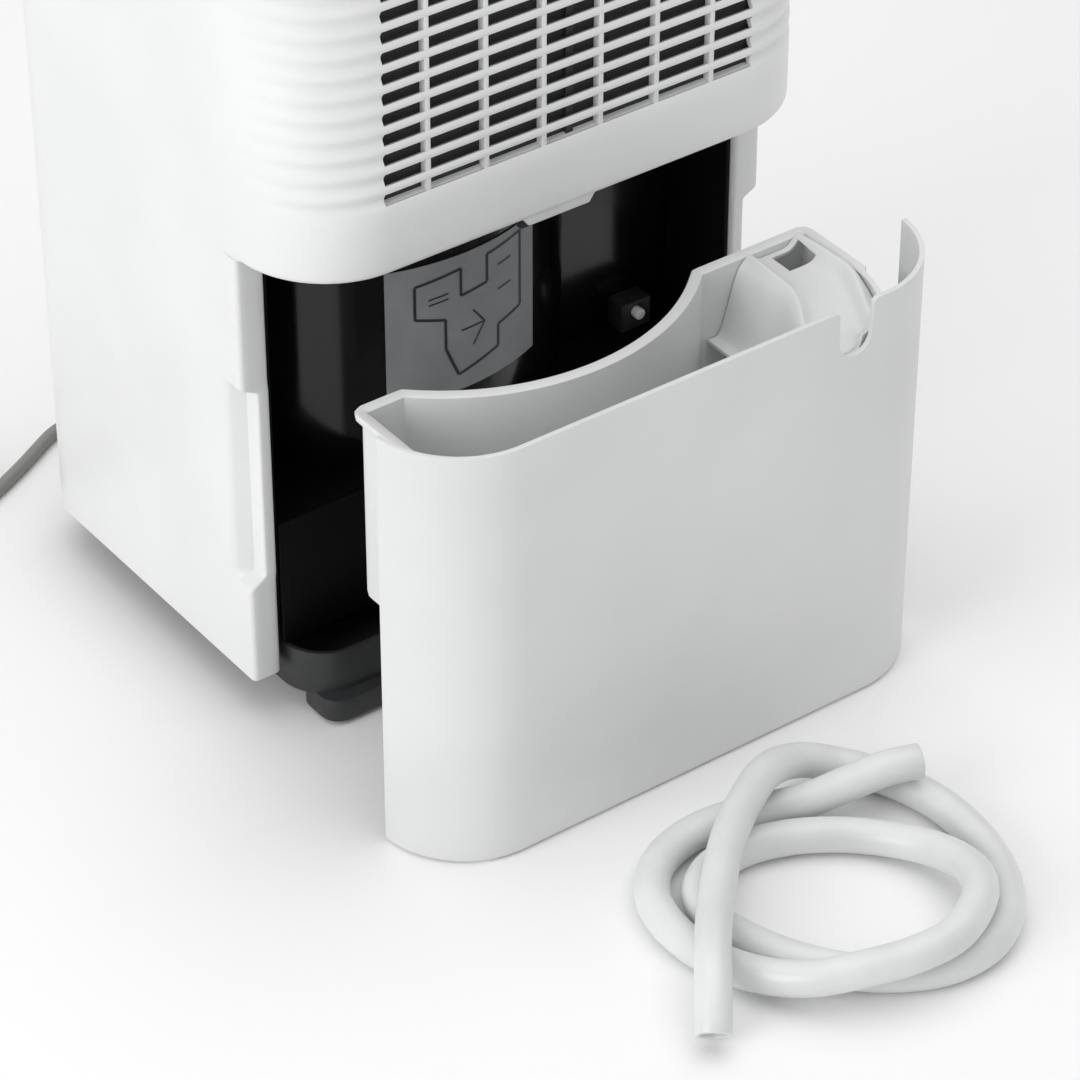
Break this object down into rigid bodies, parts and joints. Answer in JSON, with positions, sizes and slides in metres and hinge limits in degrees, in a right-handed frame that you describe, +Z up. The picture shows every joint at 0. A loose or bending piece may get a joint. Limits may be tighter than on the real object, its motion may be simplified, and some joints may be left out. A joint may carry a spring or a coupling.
{
  "type": "dehumidifier",
  "caption": "Compact compressor dehumidifier with a louvred front, a lift-out water bucket, a bay round its compressor housing and a loose drain hose.",
  "frame": {"origin": "on the floor, at the centre of the footprint of the machine and its pulled-out bucket, without the cord and hose", "axes": "+Z up, +X to the right seen from the front, the front faces -Y"},
  "size_m": [0.4145, 0.7133, 0.481],
  "materials": {
    "white_abs": "satin moulded white plastic",
    "bucket_white": "satin moulded white plastic, slightly milky",
    "dark_grey": "fine-grained dark grey moulding",
    "gloss_black": "glossy black moulding",
    "label_paper": "grey printed sticker",
    "steel": "plain steel",
    "copper": "drawn copper pipe",
    "fin_metal": "aluminium fins",
    "rubber": "moulded rubber",
    "cord_grey": "grey flexible cord sheath",
    "hose_clear": "milky translucent soft tube",
    "foam_float": "white closed-cell foam",
    "filter_grey": "grey mesh in a thin frame",
    "circuit_board": "green circuit board"
  },
  "bodies": {
    "cabinet": {"cabinet_shell": "white_abs", "rear_cover": "white_abs", "top_cover": "white_abs", "control_panel": "dark_grey", "display_lens": "gloss_black", "control_board": "circuit_board", "outlet_grille": "dark_grey", "base_pan": "dark_grey", "foot_pad_front_left": "rubber", "foot_pad_rear_left": "rubber", "foot_pad_front_right": "rubber", "foot_pad_rear_right": "rubber", "bay_wall_left": "gloss_black", "bay_wall_right": "gloss_black", "bay_plinth": "gloss_black", "compressor_housing": "gloss_black", "instruction_label": "label_paper", "bay_ceiling": "gloss_black", "bucket_switch": "dark_grey", "evaporator": "fin_metal", "condenser": "fin_metal", "drip_tray": "dark_grey", "compressor": "gloss_black", "compressor_plate": "steel", "compressor_mount_1": "rubber", "compressor_mount_2": "rubber", "compressor_mount_3": "rubber", "accumulator": "gloss_black", "suction_pipe": "copper", "discharge_pipe": "copper", "fan_volute": "dark_grey", "fan_motor": "steel", "run_capacitor": "steel", "strain_relief": "rubber", "cord_coil": "cord_grey", "mains_cord": "cord_grey", "cord_tail": "cord_grey", "plug_body": "rubber", "plug_pin_left": "steel", "plug_pin_right": "steel"},
    "button_power": {"button_power": "white_abs"},
    "button_mode": {"button_mode": "white_abs"},
    "button_timer": {"button_timer": "white_abs"},
    "button_fan": {"button_fan": "white_abs"},
    "handle": {"carry_handle": "white_abs"},
    "outlet_flap": {"outlet_flap": "white_abs"},
    "filter": {"air_filter": "filter_grey"},
    "switch_plunger": {"switch_plunger": "white_abs"},
    "fan": {"fan_wheel": "dark_grey"},
    "bucket": {"bucket_front": "bucket_white", "bucket_tank": "bucket_white", "float_cage": "bucket_white"},
    "float": {"bucket_float": "foam_float"},
    "hose": {"drain_hose": "hose_clear"}
  },
  "joints": [
    {"name": "bucket_slide", "type": "slide", "parent": "cabinet", "child": "bucket", "axis": [0, 0.9713, 0.2381], "range_m": [0, 0.105]},
    {"name": "float_rise", "type": "slide", "parent": "bucket", "child": "float", "axis": [0, 0, 1], "range_m": [0, 0.028]},
    {"name": "filter_slide", "type": "slide", "parent": "cabinet", "child": "filter", "axis": [0, 0, 1], "range_m": [-0.19, 0]},
    {"name": "handle_fold", "type": "hinge", "parent": "cabinet", "child": "handle", "pos_m": [0, 0.0585, 0.4727], "axis": [-1, 0, 0], "range_deg": [0, 90]},
    {"name": "flap_tilt", "type": "hinge", "parent": "cabinet", "child": "outlet_flap", "pos_m": [0, 0.1385, 0.4775], "axis": [-1, 0, 0], "range_deg": [0, 70]},
    {"name": "fan_spin", "type": "hinge", "parent": "cabinet", "child": "fan", "pos_m": [0, 0.1, 0.36], "axis": [0, 1, 0], "continuous": true},
    {"name": "plunger_press", "type": "slide", "parent": "cabinet", "child": "switch_plunger", "axis": [0, 1, 0], "range_m": [0, 0.0025], "stiffness_N_per_m": 300, "springref_m": -0.002},
    {"name": "hose_lift", "type": "slide", "parent": "cabinet", "child": "hose", "axis": [0, 0, 1], "range_m": [0, 0.15]},
    {"name": "press_power", "type": "slide", "parent": "cabinet", "child": "button_power", "axis": [0, 0, -1], "range_m": [0, 0.0015], "stiffness_N_per_m": 500, "springref_m": -0.001},
    {"name": "press_mode", "type": "slide", "parent": "cabinet", "child": "button_mode", "axis": [0, 0, -1], "range_m": [0, 0.0015], "stiffness_N_per_m": 500, "springref_m": -0.001},
    {"name": "press_timer", "type": "slide", "parent": "cabinet", "child": "button_timer", "axis": [0, 0, -1], "range_m": [0, 0.0015], "stiffness_N_per_m": 500, "springref_m": -0.001},
    {"name": "press_fan", "type": "slide", "parent": "cabinet", "child": "button_fan", "axis": [0, 0, -1], "range_m": [0, 0.0015], "stiffness_N_per_m": 500, "springref_m": -0.001}
  ]
}
